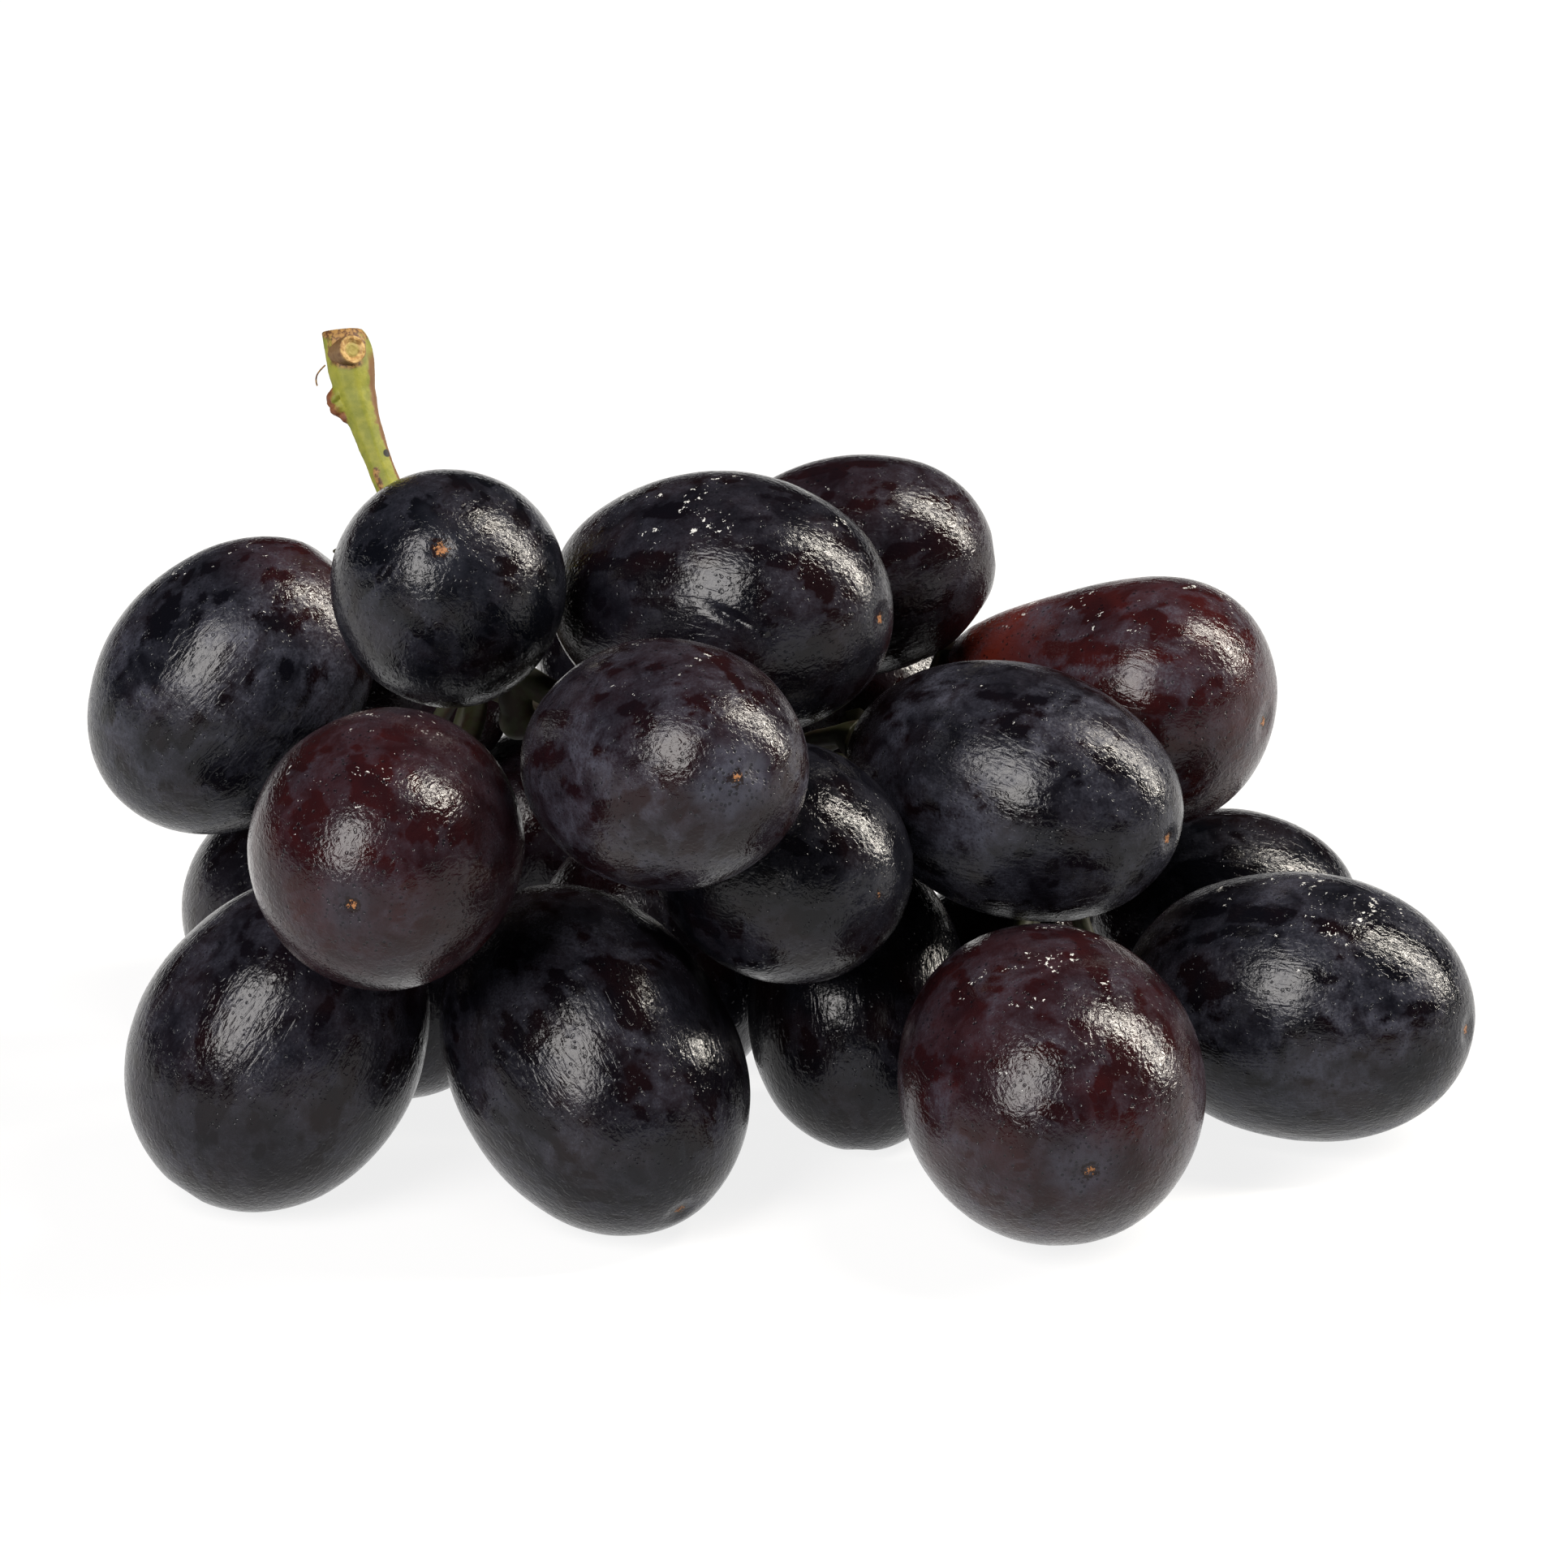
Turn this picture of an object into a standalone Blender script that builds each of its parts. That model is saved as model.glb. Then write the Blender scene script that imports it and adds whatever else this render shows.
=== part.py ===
"""A small bunch of dark table grapes, as cut from the vine and lying on a flat surface.

Each berry is a convex oval solid of its own, and the woody stem with its branches and pedicels is one
solid. Lengths below are in millimetres, and mm() turns them into Blender's metres.
"""

import math
from collections import namedtuple

import bmesh
import bpy
import numpy as np
from mathutils import Matrix, Vector

# Driving dimensions
BERRY_GAP = 0.45  # clear space left between two berries
STEM_GAP = 0.35  # clear space between a berry and the pedicel that it hangs on
FLOOR_BITE = 0.35  # depth of the flat that a bottom berry rests on
FULLNESS = 0.04  # how far a berry's widest ring lies towards its free end
BERRY_SIDES = 16
BERRY_RINGS = 10

PEDUNCLE_RADIUS = 1.45
KNOB_RADIUS = 2.15
RACHIS_RADIUS = 1.25
RACHIS_END_RADIUS = 0.95
BRANCH_RADIUS = 0.95
PEDICEL_RADIUS = 0.75
CUSHION_RADIUS = 1.75  # the swollen end of a pedicel
CUSHION_LENGTH = 1.6
STEM_SIDES = 8
PEDICEL_SIDES = 8

# The stem's runs, as hand-placed points in the bunch. x is to the right, y away from the viewer, z up.
RUNS = {
    "rachis": [
        (-34.7, 19.4, 58.2),
        (-34.1, 17.2, 53.8),
        (-31.8, 13.8, 48.0),
        (-28.2, 10.5, 41.5),
        (-22.0, 7.5, 34.0),
        (-12.0, 5.0, 30.0),
        (-3.0, 6.0, 27.0),
        (5.0, 9.0, 25.0),
        (14.0, 8.5, 21.5),
        (22.5, 4.5, 20.0),
    ],
    "left_branch": [
        (-24.0, 8.2, 36.0),
        (-24.5, 2.0, 31.5),
        (-26.0, -4.5, 29.5),
    ],
    "front_branch": [
        (-13.0, 5.2, 30.2),
        (-12.0, -1.0, 29.5),
        (-12.5, -6.0, 30.5),
    ],
    "back_branch": [
        (-17.0, 6.2, 31.5),
        (-15.5, 10.0, 27.0),
        (-14.5, 12.5, 23.5),
    ],
}

# One berry: the centre, its length and width, the heading and rise of its free end in degrees (heading 0
# is towards +x, -90 towards the viewer), the run of the stem that its pedicel grows from, and where on
# that run, from 0 at its start to 1 at its end.
Berry = namedtuple("Berry", "centre length width heading rise run share")

BERRIES = {
    # the low front row, from left to right
    "berry_01": Berry((-39.0, -18.0, 12.9), 27.2, 22.2, -149, -51, "left_branch", 1.0),
    "berry_02": Berry((-15.0, -20.5, 12.2), 29.6, 22.2, -55, -36, "left_branch", 0.7),
    "berry_03": Berry((20.1, -23.4, 11.5), 29.4, 23.6, -79, -6, "rachis", 0.99),
    "berry_04": Berry((40.5, -5.2, 10.4), 28.4, 21.2, -24, 1, "rachis", 1.0),
    # the low rows behind it
    "berry_05": Berry((6.2, -6.0, 11.2), 24.0, 17.4, -90, -62, "rachis", 0.76),
    "berry_06": Berry((-10.5, 3.5, 10.5), 21.6, 19.6, -8, -77, "rachis", 0.55),
    "berry_07": Berry((-29.5, 4.0, 10.8), 22.0, 19.4, -161, -77, "left_branch", 0.2),
    "berry_08": Berry((-39.5, 20.5, 9.2), 20.5, 17.6, 144, -45, "left_branch", 0.0),
    "berry_09": Berry((35.5, 17.5, 9.0), 22.0, 18.0, -4, -6, "rachis", 0.98),
    # the middle
    "berry_10": Berry((-30.0, -28.5, 32.9), 26.0, 20.8, -100, 1, "left_branch", 1.0),
    "berry_11": Berry((-9.5, -28.5, 39.3), 27.6, 19.2, -57, 16, "front_branch", 1.0),
    "berry_12": Berry((-0.2, -15.5, 26.6), 24.0, 18.6, -60, 6, "front_branch", 0.5),
    "berry_13": Berry((17.3, -6.7, 28.4), 28.2, 19.6, -32, -5, "rachis", 0.7),
    "berry_14": Berry((25.7, 11.7, 30.75), 25.6, 19.8, -24, -3, "rachis", 0.86),
    # the top
    "berry_15": Berry((-43.7, 8.0, 32.4), 25.4, 20.6, -164, -47, "rachis", 0.32),
    "berry_16": Berry((-26.0, -7.5, 46.0), 21.0, 18.2, -92, 37, "rachis", 0.34),
    "berry_17": Berry((-5.0, -2.1, 42.85), 28.2, 20.9, -28, 5, "rachis", 0.42),
    "berry_18": Berry((5.8, 15.3, 39.5), 22.6, 17.6, 2, 6, "rachis", 0.6),
    # the back and the inside, which the front hides
    "berry_19": Berry((-11.4, 26.0, 27.0), 22.0, 18.6, 108, -10, "rachis", 0.54),
    "berry_20": Berry((-0.8, 22.3, 8.9), 20.5, 17.6, 90, -35, "rachis", 0.66),
    "berry_21": Berry((22.0, 31.5, 9.0), 21.5, 18.2, 62, -30, "rachis", 0.88),
    "berry_22": Berry((-29.5, 25.5, 25.2), 22.0, 18.2, 122, -15, "back_branch", 0.5),
    "berry_23": Berry((-20.8, 29.0, 10.4), 23.0, 18.4, 98, -52, "back_branch", 1.0),
    "berry_24": Berry((6.8, 26.6, 24.2), 21.0, 16.8, 82, -8, "rachis", 0.7),
    "berry_25": Berry((17.2, 8.0, 7.6), 17.6, 15.6, 105, -40, "rachis", 0.95),
}
RESTING = ("berry_01", "berry_02", "berry_03", "berry_04", "berry_05", "berry_06", "berry_07")
RESTING += ("berry_08", "berry_09", "berry_20", "berry_21", "berry_23", "berry_25")
YIELDING = ("berry_06", "berry_07", "berry_19", "berry_20", "berry_21", "berry_22", "berry_23")
YIELDING += ("berry_24", "berry_25")
YIELD_SHARE = 0.85  # how much of a push a yielding berry takes from one that doesn't yield
PEAR_SHAPED = {"berry_14": 0.45}  # a fuller free end and a drawn-out stalk end

# Colour, roughness and metallic value of each material
SKIN = ((0.012, 0.010, 0.018, 1.0), 0.38, 0.0)
RED_SKIN = ((0.050, 0.012, 0.016, 1.0), 0.38, 0.0)
STEM_WOOD = ((0.36, 0.38, 0.11, 1.0), 0.55, 0.0)
REDDISH = ("berry_03", "berry_10", "berry_14")


def mm(value):
    return value * 0.001


def material(name, finish):
    colour, roughness, metallic = finish
    made = bpy.data.materials.new(name)
    made.use_nodes = True
    shader = made.node_tree.nodes["Principled BSDF"]
    shader.inputs["Base Color"].default_value = colour
    shader.inputs["Roughness"].default_value = roughness
    shader.inputs["Metallic"].default_value = metallic
    return made


def unit(vector):
    return vector / np.linalg.norm(vector)


def free_end_direction(berry):
    heading = math.radians(berry.heading)
    rise = math.radians(berry.rise)
    flat = math.cos(rise)
    return np.array([flat * math.cos(heading), flat * math.sin(heading), math.sin(rise)])


# Settling the berries


def spread(berry):
    """The ellipsoid as a matrix: its reach along a unit vector d is sqrt(d . spread . d)."""
    along = free_end_direction(berry)
    half_width = berry.width / 2
    half_length = berry.length / 2
    return half_width**2 * np.eye(3) + (half_length**2 - half_width**2) * np.outer(along, along)


def clearance(centre_a, spread_a, centre_b, spread_b, steps=24, rate=0.05):
    """The clear distance between two ellipsoids, below 0 where they overlap, and its direction from a to b."""
    apart = centre_b - centre_a
    direction = unit(apart)
    best = (-math.inf, direction)
    for _ in range(steps):
        reach_a = math.sqrt(direction @ spread_a @ direction)
        reach_b = math.sqrt(direction @ spread_b @ direction)
        clear = direction @ apart - reach_a - reach_b
        if clear > best[0]:
            best = (clear, direction)
        slope = apart - spread_a @ direction / reach_a - spread_b @ direction / reach_b
        direction = unit(direction + rate * (slope - direction * (direction @ slope)))
    return best


def lowest(centre, shape):
    return centre[2] - math.sqrt(shape[2, 2])


def push_share(first, second):
    """How much of a push the first berry takes: the back berries give way to those in front."""
    if (first in YIELDING) == (second in YIELDING):
        return 0.5
    return YIELD_SHARE if first in YIELDING else 1 - YIELD_SHARE


def settle(rounds=80, step=0.5, near=31.0):
    """Pushes overlapping berries apart, a little each round, and sets the resting ones on the floor."""
    names = list(BERRIES)
    centres = {name: np.array(BERRIES[name].centre) for name in names}
    shapes = {name: spread(BERRIES[name]) for name in names}
    for _ in range(rounds):
        tightest = BERRY_GAP
        for index, first in enumerate(names):
            for second in names[index + 1 :]:
                if np.linalg.norm(centres[second] - centres[first]) > near:
                    continue
                clear, direction = clearance(
                    centres[first], shapes[first], centres[second], shapes[second]
                )
                tightest = min(tightest, clear)
                if clear < BERRY_GAP:
                    push = 2 * step * (BERRY_GAP + 0.02 - clear) * direction
                    share = push_share(first, second)
                    centres[first] = centres[first] - share * push
                    centres[second] = centres[second] + (1 - share) * push
        for name in RESTING:
            centres[name][2] += -FLOOR_BITE - lowest(centres[name], shapes[name])
        if tightest > BERRY_GAP - 0.02:
            break
    print(f"settled to a clearance of {tightest:.2f} mm")
    return centres


# The berries


def berry_mesh(name, berry):
    """An oval of rings about its own z axis, with the free end at +z and the stalk end at -z."""
    shape = bmesh.new()
    bmesh.ops.create_uvsphere(shape, u_segments=BERRY_SIDES, v_segments=BERRY_RINGS, radius=1.0)
    fullness = PEAR_SHAPED.get(name, FULLNESS)
    for point in shape.verts:
        swell = (1 + fullness * point.co.z) / (1 + 0.2 * fullness)
        point.co.x *= swell * mm(berry.width / 2)
        point.co.y *= swell * mm(berry.width / 2)
        point.co.z *= mm(berry.length / 2)
    mesh = bpy.data.meshes.new(name)
    shape.to_mesh(mesh)
    shape.free()
    mesh.shade_smooth()
    return mesh


def rest_flat_on_floor(obj):
    """Cuts the berry level where it meets z = 0, as the weight of the bunch presses it."""
    to_local = obj.matrix_world.inverted()
    shape = bmesh.new()
    shape.from_mesh(obj.data)
    cut = bmesh.ops.bisect_plane(
        shape,
        geom=shape.verts[:] + shape.edges[:] + shape.faces[:],
        plane_co=to_local @ Vector((0, 0, 0)),
        plane_no=to_local.to_3x3() @ Vector((0, 0, 1)),
        clear_inner=True,
    )
    rim = [item for item in cut["geom_cut"] if isinstance(item, bmesh.types.BMEdge)]
    bmesh.ops.holes_fill(shape, edges=rim)
    bmesh.ops.recalc_face_normals(shape, faces=shape.faces[:])
    shape.to_mesh(obj.data)
    shape.free()
    obj.data.set_sharp_from_angle(angle=math.radians(40))


def make_berries(centres, skin, red_skin):
    made = {}
    for name, berry in BERRIES.items():
        obj = bpy.data.objects.new(name, berry_mesh(name, berry))
        bpy.context.scene.collection.objects.link(obj)
        obj.location = [mm(value) for value in centres[name]]
        along = Vector(free_end_direction(berry))
        obj.rotation_euler = along.to_track_quat("Z", "Y").to_euler()
        obj.data.materials.append(red_skin if name in REDDISH else skin)
        made[name] = obj
    bpy.context.view_layer.update()
    for name in RESTING:
        rest_flat_on_floor(made[name])
    return made


# The stem


def smooth_run(points, per_span=3):
    """Points along a Catmull-Rom curve through the given ones."""
    knots = [np.array(point, float) for point in points]
    knots = [2 * knots[0] - knots[1]] + knots + [2 * knots[-1] - knots[-2]]
    route = []
    for a, b, c, d in zip(knots, knots[1:], knots[2:], knots[3:]):
        for step in range(per_span):
            t = step / per_span
            route.append(
                b
                + 0.5 * t * (c - a)
                + 0.5 * t**2 * (2 * a - 5 * b + 4 * c - d)
                + 0.5 * t**3 * (3 * b - a - 3 * c + d)
            )
    route.append(knots[-2])
    return route


def point_at(route, share):
    place = share * (len(route) - 1)
    index = min(int(place), len(route) - 2)
    return route[index] + (place - index) * (route[index + 1] - route[index])


def tube(name, route, radii, sides):
    """A closed round tube along a route, its sections kept from twisting. It ends in flat caps."""
    shape = bmesh.new()
    rings = []
    side_axis = None
    for index, centre in enumerate(route):
        before = route[max(index - 1, 0)]
        after = route[min(index + 1, len(route) - 1)]
        along = unit(after - before)
        if side_axis is None:
            side_axis = np.cross(along, [0.0, 0.0, 1.0] if abs(along[2]) < 0.9 else [1.0, 0.0, 0.0])
        side_axis = unit(side_axis - along * (along @ side_axis))
        other_axis = np.cross(along, side_axis)
        ring = []
        for side in range(sides):
            turn = 2 * math.pi * side / sides
            outward = math.cos(turn) * side_axis + math.sin(turn) * other_axis
            ring.append(shape.verts.new([mm(value) for value in centre + radii[index] * outward]))
        rings.append(ring)
    for low, high in zip(rings, rings[1:]):
        for side in range(sides):
            after = (side + 1) % sides
            shape.faces.new((low[side], low[after], high[after], high[side]))
    shape.faces.new(rings[0][::-1])
    shape.faces.new(rings[-1])
    bmesh.ops.recalc_face_normals(shape, faces=shape.faces[:])
    mesh = bpy.data.meshes.new(name)
    shape.to_mesh(mesh)
    shape.free()
    obj = bpy.data.objects.new(name, mesh)
    bpy.context.scene.collection.objects.link(obj)
    return obj


def rachis_radii(route):
    """Thick at the knob where it was cut, slim along the stalk, and thinner again at the far end."""
    radii = []
    for index in range(len(route)):
        share = index / (len(route) - 1)
        from_knob = np.linalg.norm(route[index] - route[0])
        slim = PEDUNCLE_RADIUS + (RACHIS_END_RADIUS - PEDUNCLE_RADIUS) * share
        swell = max(0.0, 1 - from_knob / 5.0)
        radii.append(slim + (KNOB_RADIUS - PEDUNCLE_RADIUS) * swell**0.7)
    return radii


def pedicel_route(root, end, into_berry, rings=6):
    """From its root on the stem to the berry's stalk end, where it arrives along the berry's axis."""
    reach = np.linalg.norm(end - root)
    handle = end - into_berry * min(0.4 * reach, 4.0)
    start_handle = root + 0.25 * (handle - root)
    route = []
    for step in range(rings):
        t = step / rings
        route.append(
            (1 - t) ** 3 * root
            + 3 * (1 - t) ** 2 * t * start_handle
            + 3 * (1 - t) * t**2 * handle
            + t**3 * end
        )
    route = [point for point in route if np.linalg.norm(end - point) > CUSHION_LENGTH * 1.3]
    route.append(end - into_berry * CUSHION_LENGTH)
    route.append(end - into_berry * CUSHION_LENGTH * 0.45)
    route.append(end)
    return route


def pedicel_radii(route):
    radii = [PEDICEL_RADIUS * 1.25] + [PEDICEL_RADIUS] * (len(route) - 4)
    return radii + [PEDICEL_RADIUS * 1.1, CUSHION_RADIUS * 0.82, CUSHION_RADIUS]


def stalk_end(berry, centre):
    """The point just outside the berry where its pedicel stops."""
    return centre - free_end_direction(berry) * (berry.length / 2 + STEM_GAP)


def make_stem(centres, wood):
    """One solid: the stalk and rachis, the side branches, and a pedicel for each berry."""
    routes = {name: smooth_run(points) for name, points in RUNS.items()}
    parts = [tube("stem", routes["rachis"], rachis_radii(routes["rachis"]), STEM_SIDES)]
    for name, route in routes.items():
        if name != "rachis":
            radii = [RACHIS_RADIUS] + [BRANCH_RADIUS] * (len(route) - 1)
            parts.append(tube(name, route, radii, STEM_SIDES))
    for name, berry in BERRIES.items():
        root = point_at(routes[berry.run], berry.share)
        end = stalk_end(berry, centres[name])
        route = pedicel_route(root, end, free_end_direction(berry))
        parts.append(tube("pedicel_of_" + name, route, pedicel_radii(route), PEDICEL_SIDES))
    return fuse(parts, wood)


def fuse(parts, finish):
    """Joins the first part with all the others by one Boolean union, and removes the others."""
    whole, others = parts[0], parts[1:]
    group = bpy.data.collections.new("stem_parts")
    for obj in others:
        group.objects.link(obj)
    union = whole.modifiers.new("Union", "BOOLEAN")
    union.operation = "UNION"
    union.operand_type = "COLLECTION"
    union.collection = group
    union.solver = "EXACT"
    graph = bpy.context.evaluated_depsgraph_get()
    joined = bpy.data.meshes.new_from_object(whole.evaluated_get(graph))
    whole.modifiers.clear()
    whole.data = joined
    joined.name = whole.name
    for obj in others:
        bpy.data.objects.remove(obj, do_unlink=True)
    bpy.data.collections.remove(group)
    joined.materials.clear()
    joined.materials.append(finish)
    joined.shade_smooth()
    joined.set_sharp_from_angle(angle=math.radians(50))
    return whole


def centre_on_floor(objects):
    """Moves the bunch so that its box is centred on x and y, with its underside at z = 0."""
    bpy.context.view_layer.update()
    points = [obj.matrix_world @ point.co for obj in objects for point in obj.data.vertices]
    low = Vector(min(point[axis] for point in points) for axis in range(3))
    high = Vector(max(point[axis] for point in points) for axis in range(3))
    shift = Vector((-(low.x + high.x) / 2, -(low.y + high.y) / 2, -low.z))
    for obj in objects:
        obj.matrix_world = Matrix.Translation(shift) @ obj.matrix_world


def main():
    for obj in list(bpy.data.objects):
        bpy.data.objects.remove(obj, do_unlink=True)
    bpy.context.scene.unit_settings.system = "METRIC"
    centres = settle()
    skin = material("dark_grape_skin", SKIN)
    red_skin = material("reddish_grape_skin", RED_SKIN)
    wood = material("green_stem", STEM_WOOD)
    berries = make_berries(centres, skin, red_skin)
    stem = make_stem(centres, wood)
    centre_on_floor([stem, *berries.values()])


main()
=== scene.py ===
# %% [markdown]
# # A small bunch of dark grapes
#
# This lesson dresses a plain model of a bunch of grapes: twenty-five convex oval berries and one
# branching stem, already at their real size and in their real places. The berries come first, then the
# bloom and gloss of their skin, then the woody stem that they hang on.
#
# The first cell loads that model as a frame. Everything is in metres, with z up and the viewer towards -y.

# %% Load the frame
import math

import bpy
import numpy as np
from mathutils import Matrix, Vector, noise


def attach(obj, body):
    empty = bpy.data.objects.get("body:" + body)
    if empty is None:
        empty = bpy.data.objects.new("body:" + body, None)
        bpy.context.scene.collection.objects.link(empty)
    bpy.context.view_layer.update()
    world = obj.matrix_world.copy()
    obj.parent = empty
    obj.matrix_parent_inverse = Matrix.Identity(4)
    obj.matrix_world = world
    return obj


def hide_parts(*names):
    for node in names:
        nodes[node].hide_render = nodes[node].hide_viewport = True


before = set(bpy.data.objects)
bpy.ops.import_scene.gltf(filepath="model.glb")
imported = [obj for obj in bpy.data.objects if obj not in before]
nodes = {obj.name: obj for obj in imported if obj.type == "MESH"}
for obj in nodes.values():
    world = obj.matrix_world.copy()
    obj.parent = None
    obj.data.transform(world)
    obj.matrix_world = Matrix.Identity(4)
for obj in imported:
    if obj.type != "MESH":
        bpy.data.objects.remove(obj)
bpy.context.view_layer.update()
berry_names = sorted(name for name in nodes if name.startswith("berry_"))
MM = 0.001

# %% [markdown]
# ## The camera
#
# A product photographer stands back and uses a long lens, so that near and far berries keep nearly the
# same scale. The camera here is 0.9 m away and looks down by 22.5 degrees. `to_track_quat` turns a
# direction into a rotation, which saves working out Euler angles by hand.

# %% Camera
VIEW_ELEVATION = math.radians(22.5)
VIEW_DISTANCE = 0.9
AIM = Vector((0.0004, -0.0003, 0.027))
FRAME_WIDTH = 0.1236  # what the picture spans at the bunch
SENSOR_WIDTH = 36.0  # Blender's default, in millimetres

towards_viewer = Vector((0, -math.cos(VIEW_ELEVATION), math.sin(VIEW_ELEVATION)))
picture_up = Vector((0, math.sin(VIEW_ELEVATION), math.cos(VIEW_ELEVATION)))
camera_place = Vector((AIM.x, AIM.y, 0)) + towards_viewer * VIEW_DISTANCE
looking = (AIM - camera_place).to_track_quat("-Z", "Y").to_euler()
bpy.ops.object.camera_add(location=camera_place, rotation=looking)
camera = bpy.context.object
camera.name = "camera"
camera.data.lens = SENSOR_WIDTH * (AIM - camera_place).length / FRAME_WIDTH
bpy.context.scene.camera = camera
print(f"lens {camera.data.lens:.0f} mm")

# %% [markdown]
# ## Lights and floor
#
# Dark glossy fruit shows its form by what it reflects. Three things do that here: a soft box to the left
# of the viewer puts a broad highlight on the middle of each berry, a long strip overhead and to the right
# draws an arc on each upper right shoulder, and the white floor lifts the undersides to a soft grey. The
# rest of the room stays dim, or the skin would turn grey all over.

# %% Lights
def area_light(name, direction, distance, width, height, watts, warmth=(1.0, 1.0, 1.0)):
    """A soft box in that direction from the bunch, facing it. Its height runs up and down."""
    place = AIM + Vector(direction).normalized() * distance
    facing = (AIM - place).to_track_quat("-Z", "Y").to_euler()
    bpy.ops.object.light_add(type="AREA", location=place, rotation=facing)
    light = bpy.context.object
    light.name = name
    light.data.shape = "RECTANGLE"
    light.data.size = width
    light.data.size_y = height
    light.data.energy = watts
    light.data.color = warmth
    print(f"{name}: {watts} W, {width} x {height} m")


area_light("key_softbox", (-0.46, -0.66, 0.59), 0.75, 0.36, 0.58, 10.2, (1.0, 0.97, 0.95))
area_light("arc_strip", (0.76, 0.17, 0.62), 0.75, 0.08, 0.80, 15.0, (1.0, 0.94, 0.84))

world = bpy.data.worlds.new("studio")
bpy.context.scene.world = world
world.use_nodes = True
world.node_tree.nodes["Background"].inputs["Color"].default_value = (1.0, 1.0, 1.0, 1.0)
world.node_tree.nodes["Background"].inputs["Strength"].default_value = 0.015
bpy.context.scene.view_settings.view_transform = "Standard"

# %% Floor
FLOOR_SIDE = 8.0
bpy.ops.mesh.primitive_plane_add(size=FLOOR_SIDE, location=(0, 0, 0))
floor = bpy.context.object
floor.name = "floor"
floor_material = bpy.data.materials.new("pale_floor")
floor_material.use_nodes = True
floor_shader = floor_material.node_tree.nodes["Principled BSDF"]
floor_shader.inputs["Base Color"].default_value = (0.12, 0.12, 0.12, 1.0)
floor_shader.inputs["Roughness"].default_value = 0.9
floor_shader.inputs["Emission Color"].default_value = (1.0, 1.0, 1.0, 1.0)
floor_shader.inputs["Emission Strength"].default_value = 0.84
floor.data.materials.append(floor_material)
print(f"floor {FLOOR_SIDE} m wide")

# %% [markdown]
# ## Measuring the berries
#
# Each plain berry is a ball of sixteen segments and ten rings, stretched along its own axis. Its two
# poles are the only points where sixteen triangles meet. The stalk end is the pole nearer to the stem.
# The first ring of sixteen points round that pole gives the axis, and its depth gives the length:
# a ring one tenth of the way round lies at half the length times 1 - cos(18 degrees).

# %% Measure
FRAME_RINGS = 10
FRAME_SEGMENTS = 16
TOUCHING = 0.01 * MM  # a berry whose lowest point is this near the floor rests on it


def merged(node):
    """The points of a frame mesh without their copies, and its triangles."""
    mesh = nodes[node].data
    points = np.array([vertex.co for vertex in mesh.vertices])
    unique, index = np.unique(np.round(points / MM, 3), axis=0, return_inverse=True)
    triangles = index.reshape(-1)[np.array([face.vertices[:] for face in mesh.polygons])]
    return unique * MM, triangles


stem_points, _ = merged("stem")


class Berry:
    """Where a berry is, how long and wide it is, and the way its free end points."""

    def __init__(self, name):
        self.name = name
        points, triangles = merged(name)
        meeting = np.bincount(triangles.reshape(-1), minlength=len(points))
        poles = [index for index in range(len(points)) if meeting[index] == FRAME_SEGMENTS]
        to_stem = [np.linalg.norm(stem_points - points[pole], axis=1).min() for pole in poles]
        stalk = poles[int(np.argmin(to_stem))]
        ring = np.unique(triangles[(triangles == stalk).any(axis=1)])
        ring = ring[ring != stalk]
        step = points[ring].mean(axis=0) - points[stalk]
        depth = np.linalg.norm(step)
        self.axis = Vector(step / depth)
        self.length = float(2 * depth / (1 - math.cos(math.pi / FRAME_RINGS)))
        self.stalk_end = Vector(points[stalk])
        self.centre = self.stalk_end + self.axis * self.length / 2
        outward = points - np.array(self.centre)
        along = outward @ np.array(self.axis)
        across = np.linalg.norm(outward - np.outer(along, np.array(self.axis)), axis=1)
        self.width = float(2 * across.max())
        self.on_floor = points[:, 2].min() < TOUCHING

    def placement(self, spare=0.0):
        """The matrix that takes a ball of radius 1 with its free end at +z to this berry."""
        turn = self.axis.to_track_quat("Z", "Y").to_matrix().to_4x4()
        half_width = self.width / 2 + spare
        half_length = self.length / 2 + spare
        grow = Matrix.Diagonal((half_width, half_width, half_length, 1.0))
        return Matrix.Translation(self.centre) @ turn @ grow


berries = {name: Berry(name) for name in berry_names}
for berry in berries.values():
    print(f"{berry.name} {berry.length / MM:.1f} x {berry.width / MM:.1f} mm")

# %% [markdown]
# ## One berry, modelled once
#
# A grape is an oval, a little fuller towards its free end. At the stalk end the skin dips towards the
# pedicel's cushion and then rises under it. At the free end a shallow dimple holds the scar of the
# flower's style, a speck of tan cork. A UV sphere suits this, because its rings already run round both
# ends, and those ends get extra cuts for the small forms. Proportional editing then pulls them in
# smoothly, as by hand.

# %% Select in code
def deselect_all():
    bpy.ops.object.select_all(action="DESELECT")


def make_active(obj):
    deselect_all()
    obj.select_set(True)
    bpy.context.view_layer.objects.active = obj


def edit_where(obj, test):
    """Enters edit mode with only the vertices chosen for which test(co) is true."""
    make_active(obj)
    bpy.ops.object.mode_set(mode="EDIT")
    bpy.ops.mesh.select_mode(type="VERT")
    bpy.ops.mesh.select_all(action="DESELECT")
    bpy.ops.object.mode_set(mode="OBJECT")
    for vertex in obj.data.vertices:
        vertex.select = test(vertex.co)
    bpy.ops.object.mode_set(mode="EDIT")


def leave_edit():
    bpy.ops.object.mode_set(mode="OBJECT")


# %% Master berry
BERRY_SEGMENTS = 96
BERRY_RING_COUNT = 64
POLE_CUTS = 2
CAP_START = 0.985  # the ends, which get the extra cuts, start at this height on a ball of radius 1
POLE = 0.99999
SCAR_DIP, SCAR_DIP_REACH = 0.022, 0.16
STALK_DIP, STALK_DIP_REACH = 0.035, 0.38


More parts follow.
